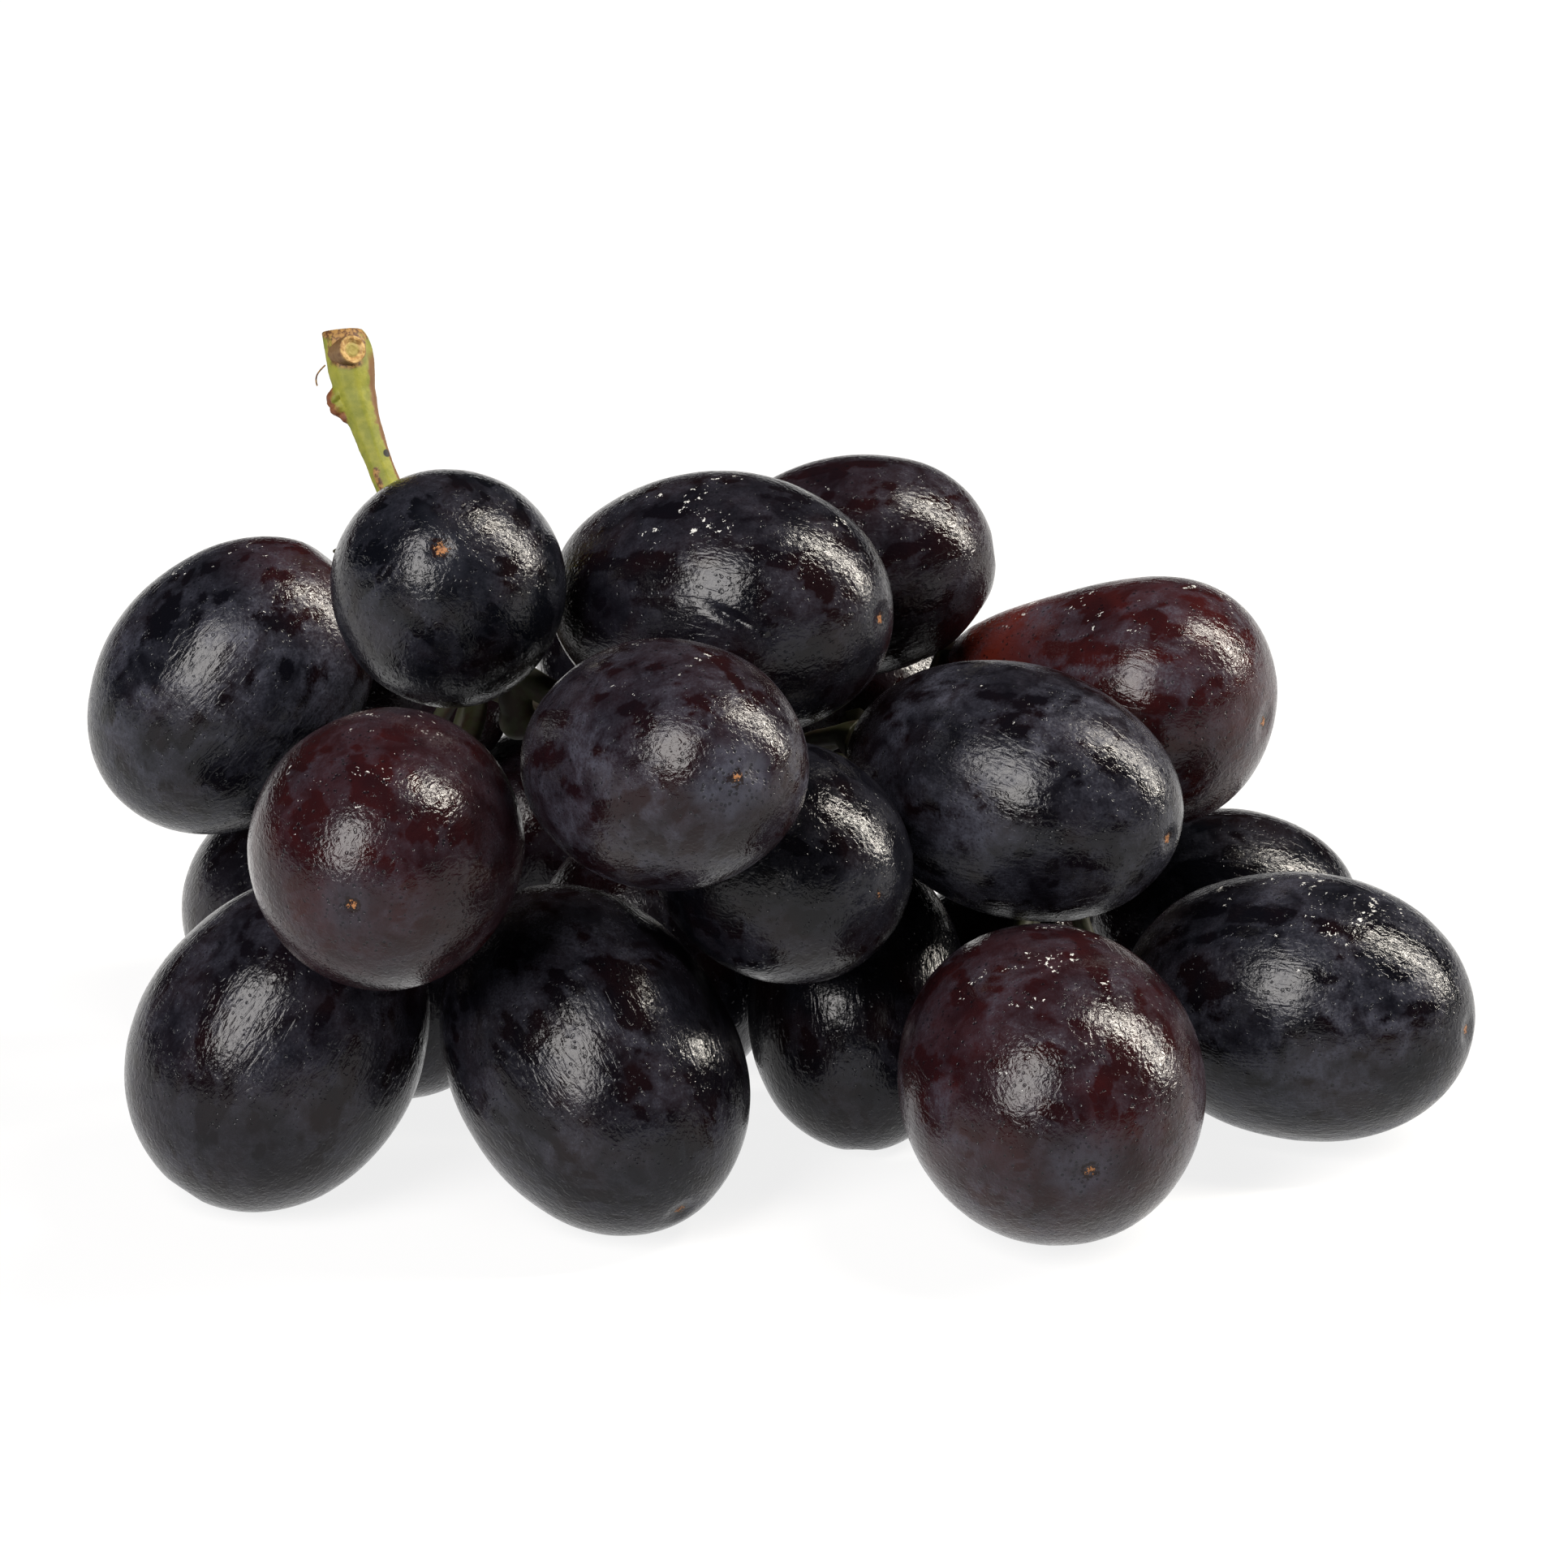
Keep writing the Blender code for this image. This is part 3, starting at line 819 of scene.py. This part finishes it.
TORN_CENTRE = np.array((-35.3, 16.2, 52.6)) * MM
TORN_REACH, TORN_HEIGHT = 1.1 * MM, 0.30 * MM
RIDGE_SIZE, RIDGE_HEIGHT = 1.1 * MM, 0.05 * MM
RIDGE_STRETCH = np.array((1.0, 1.0, 0.35))  # ridges run up the stalk
STEM_CRUMB_SIZE = 0.45 * MM


def roughen_stem():
    mesh = stem.data
    points = tuck_cushion(round_knob(read_points(mesh)))
    normals = np.empty(3 * len(points), np.float32)
    mesh.vertices.foreach_get("normal", normals)
    normals = normals.reshape(-1, 3)
    ridges = np.array([noise.noise(Vector(place) / RIDGE_SIZE) for place in points * RIDGE_STRETCH])
    torn = np.exp(-((np.linalg.norm(points - TORN_CENTRE, axis=1) / TORN_REACH) ** 2))
    crumbs = np.array([noise.noise(Vector(place) / STEM_CRUMB_SIZE) for place in points])
    girth = np.interp(points[:, 2] / MM, STALK_HEIGHTS, STALK_GIRTHS) * MM
    height = RIDGE_HEIGHT * ridges + TORN_HEIGHT * torn * crumbs + girth
    write_points(mesh, points + normals * height[:, None])


roughen_stem()
make_active(stem)
bpy.ops.object.shade_smooth()
print(f"stem: {len(stem.data.polygons)} faces")

# %% [markdown]
# The top of the stalk also shows the round cut of a lost shoot, which faces the viewer and to the right. It
# is a short cylinder with a soft rim and a hollow pith. A dry hair curls off the other side, and one black
# dot marks the bark.

# %% Cut end
CUT_PLACE = Vector((-33.75, 16.1, 57.6)) * MM
CUT_FACING = Vector((0.45, -0.78, 0.43)).normalized()
CUT_RADIUS = 1.15 * MM
CUT_DEPTH = 2.2 * MM
# each ring is inset from the last one by its first number and raised by its second, in millimetres
CUT_RINGS = ((0.10, 0.05), (0.20, -0.02), (0.22, -0.16), (0.22, 0.03), (0.2, -0.06))
CUT_BUMP_SIZE, CUT_BUMP_HEIGHT = 0.5 * MM, 0.10 * MM

deselect_all()
bpy.ops.mesh.primitive_cylinder_add(
    vertices=40,
    radius=CUT_RADIUS,
    depth=CUT_DEPTH,
    location=CUT_PLACE - CUT_FACING * CUT_DEPTH / 2,
    rotation=CUT_FACING.to_track_quat("Z", "Y").to_euler(),
)
cut_end = bpy.context.object
cut_end.name = "cut_end"
edit_where(cut_end, lambda co: co.z > 0)
bpy.ops.mesh.select_mode(type="FACE")
for thickness, depth in CUT_RINGS:
    bpy.ops.mesh.inset(thickness=thickness * MM, depth=depth * MM)
leave_edit()
bpy.ops.object.transform_apply(location=True, rotation=True, scale=True)
cut_points = read_points(cut_end.data)
bumps = np.array([noise.noise_vector(Vector(place) / CUT_BUMP_SIZE) for place in cut_points])
write_points(cut_end.data, cut_points + CUT_BUMP_HEIGHT * bumps)
print(f"cut end: {len(cut_end.data.polygons)} faces")

# %% Dry hair
HAIR = ((-36.0, 17.2, 55.9), (-36.6, 17.0, 55.4), (-36.8, 16.9, 54.7), (-36.65, 16.8, 54.3))
HAIR_RADIUS = 0.07 * MM

hair_curve = bpy.data.curves.new("hair", "CURVE")
hair_curve.dimensions = "3D"
hair_curve.bevel_depth = HAIR_RADIUS
hair_curve.bevel_resolution = 2
strand = hair_curve.splines.new("NURBS")
strand.points.add(len(HAIR) - 1)
for point, place in zip(strand.points, HAIR):
    point.co = (*(Vector(place) * MM), 1.0)
strand.use_endpoint_u = True
strand.order_u = 3
hair = bpy.data.objects.new("hair", hair_curve)
bpy.context.scene.collection.objects.link(hair)
make_active(hair)
bpy.ops.object.convert(target="MESH")
print(f"hair: {len(hair.data.polygons)} faces")

# %% Paint and join the stem
MARK_PLACE = np.array((-31.1, 13.7, 49.72)) * MM
STREAK_TOP = np.array((-31.95, 12.5, 48.5)) * MM
STREAK_FOOT = np.array((-31.65, 12.0, 47.1)) * MM
LEDGE_SPOTS = ((-35.7, 16.4, 53.5), (-35.4, 16.1, 52.6), (-34.9, 15.8, 51.8))
# the middle of the painted shadow that the cut end casts on the stalk below it
CUT_SHADOW_CENTRE = np.array(CUT_PLACE - CUT_FACING * 1.2 * MM)
RIGHT_SIDE = np.array(Vector((0.93, 0.0, 0.28)).normalized())
PAINT_CRUMB_SIZE = 0.9 * MM


def paint_stem():
    """The bark mask: brown bark, and a painted shadow just under the cut end. The shade mask: painted shade
    that darkens the inner stalks over their duller green-brown. The edge mask: the red-brown right side.
    """
    mesh = stem.data
    points = read_points(mesh)
    flat = np.empty(3 * len(points), np.float32)
    mesh.vertices.foreach_get("normal", flat)
    normals = flat.reshape(-1, 3)
    crumbs = np.array([noise.fractal(Vector(place) / PAINT_CRUMB_SIZE, 0.6, 2.0, 3) for place in points])
    height = points[:, 2] / MM
    top = smooth_step(height + 0.5 * crumbs, 57.3, 58.3)
    ledge = np.zeros(len(points))
    for spot in LEDGE_SPOTS:
        near = np.linalg.norm(points - np.array(spot) * MM, axis=1) / MM
        ledge = np.maximum(ledge, smooth_step(-near + 0.25 * crumbs, -1.15, -0.45))
    # painted shadow: the stalk just under the cut end is painted bark brown, as shade
    from_cut_shadow = np.linalg.norm(points - CUT_SHADOW_CENTRE, axis=1) / MM
    painted_cut_shadow = smooth_step(-from_cut_shadow + 0.3 * crumbs, -1.9, -1.2)
    line = STREAK_FOOT - STREAK_TOP
    along = np.clip((points - STREAK_TOP) @ line / (line @ line), 0, 1)
    from_streak = np.linalg.norm(points - STREAK_TOP - np.outer(along, line), axis=1) / MM
    streak = smooth_step(-from_streak + 0.2 * crumbs, -0.55, -0.2)
    store(mesh, "bark", np.clip(0.75 * top + 0.9 * ledge + 0.7 * painted_cut_shadow + 0.8 * streak, 0, 1))
    # painted shade: the stalks low inside the bunch are darkened as if in shadow, over their duller
    # green-brown
    store(mesh, "shade", smooth_step(-height, -47.0, -43.5))
    right = normals @ RIGHT_SIDE
    edge = smooth_step(right + 0.12 * crumbs, 0.62, 0.92) * smooth_step(-height, -57.5, -55.5)
    store(mesh, "edge", np.clip(edge * smooth_step(height, 43.5, 47.0) + 0.8 * ledge, 0, 1))
    store(mesh, "cut", np.zeros(len(points)))


def paint_whole(obj, **values):
    for name in ("bark", "shade", "edge", "cut"):
        store(obj.data, name, np.full(len(obj.data.vertices), values.get(name, 0.0)))


paint_stem()
paint_whole(cut_end, cut=1.0)
paint_whole(hair, bark=1.0)
deselect_all()
for piece in (cut_end, hair, stem):
    piece.select_set(True)
bpy.context.view_layer.objects.active = stem
bpy.ops.object.join()
print(f"whole stem: {len(stem.data.polygons)} faces")

# %% Stem wood
YOUNG_GREEN = colour(0.120, 0.130, 0.011)
PALE_GREEN = colour(0.185, 0.182, 0.020)
PITH_GREEN = colour(0.190, 0.165, 0.035)
SHADED_GREEN = colour(0.016, 0.017, 0.004)
SHADED_BROWN = colour(0.014, 0.007, 0.002)
BARK_TAN = colour(0.230, 0.125, 0.036)
BARK_BROWN = colour(0.060, 0.023, 0.007)
EDGE_RED = colour(0.110, 0.032, 0.009)
CUT_TAN = colour(0.36, 0.235, 0.085)
MARK_BLACK = colour(0.004, 0.003, 0.003)
WOOD_IOR = 1.38
WOOD_ROUGHNESS = 0.62


def stem_wood():
    wood = Recipe("green_stem")
    place = wood.place()
    streaks = wood.noise(place, 1.3 * MM, detail=4.0, roughness=0.6)
    fine = wood.noise(place, 0.35 * MM, detail=3.0, roughness=0.6)
    green = wood.mix(wood.ramp(streaks, 0.35, 0.65), YOUNG_GREEN, PALE_GREEN)
    # painted shade for the inner stalks, mixed in by the shade mask
    painted_shade_colour = wood.mix(wood.ramp(streaks, 0.45, 0.6), SHADED_GREEN, SHADED_BROWN)
    base = wood.mix(wood.attribute("shade"), green, painted_shade_colour)
    bark_colour = wood.mix(wood.ramp(fine, 0.40, 0.60), BARK_TAN, BARK_BROWN)
    # the bark mask also paints the shadow under the cut end
    bark = wood.ramp(wood.attribute("bark"), 0.15, 0.75)
    base = wood.mix(bark, base, bark_colour)
    base = wood.mix(wood.ramp(wood.attribute("edge"), 0.1, 0.8, 0.0, 0.85), base, EDGE_RED)
    cut_colour = wood.mix(wood.ramp(fine, 0.42, 0.58), CUT_TAN, BARK_TAN)
    from_cut = wood.add(
        "ShaderNodeVectorMath", {0: place, 1: tuple(CUT_PLACE)}, output="Value", operation="DISTANCE"
    )
    cut_colour = wood.mix(wood.ramp(from_cut, 0.75 * MM, 0.45 * MM, 0.0, 0.8), cut_colour, PITH_GREEN)
    cut_colour = wood.mix(wood.ramp(from_cut, 1.00 * MM, 1.18 * MM, 0.0, 0.8), cut_colour, BARK_BROWN)
    base = wood.mix(wood.attribute("cut"), base, cut_colour)
    from_mark = wood.add(
        "ShaderNodeVectorMath", {0: place, 1: tuple(MARK_PLACE)}, output="Value", operation="DISTANCE"
    )
    base = wood.mix(wood.ramp(from_mark, 0.38 * MM, 0.28 * MM), base, MARK_BLACK)
    relief = wood.bump(streaks, 0.10 * MM, 0.5)
    relief = wood.bump(fine, 0.04 * MM, 0.5, over=relief)
    return wood.finish(Base_Color=base, Roughness=WOOD_ROUGHNESS, Normal=relief, IOR=WOOD_IOR)


stem.data.materials.clear()
stem.data.materials.append(stem_wood())
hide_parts("stem")
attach(stem, "root")

# %% [markdown]
# ## Clear up
#
# The master berry isn't part of the bunch, so it goes.

# %% Finish
bpy.data.objects.remove(master, do_unlink=True)
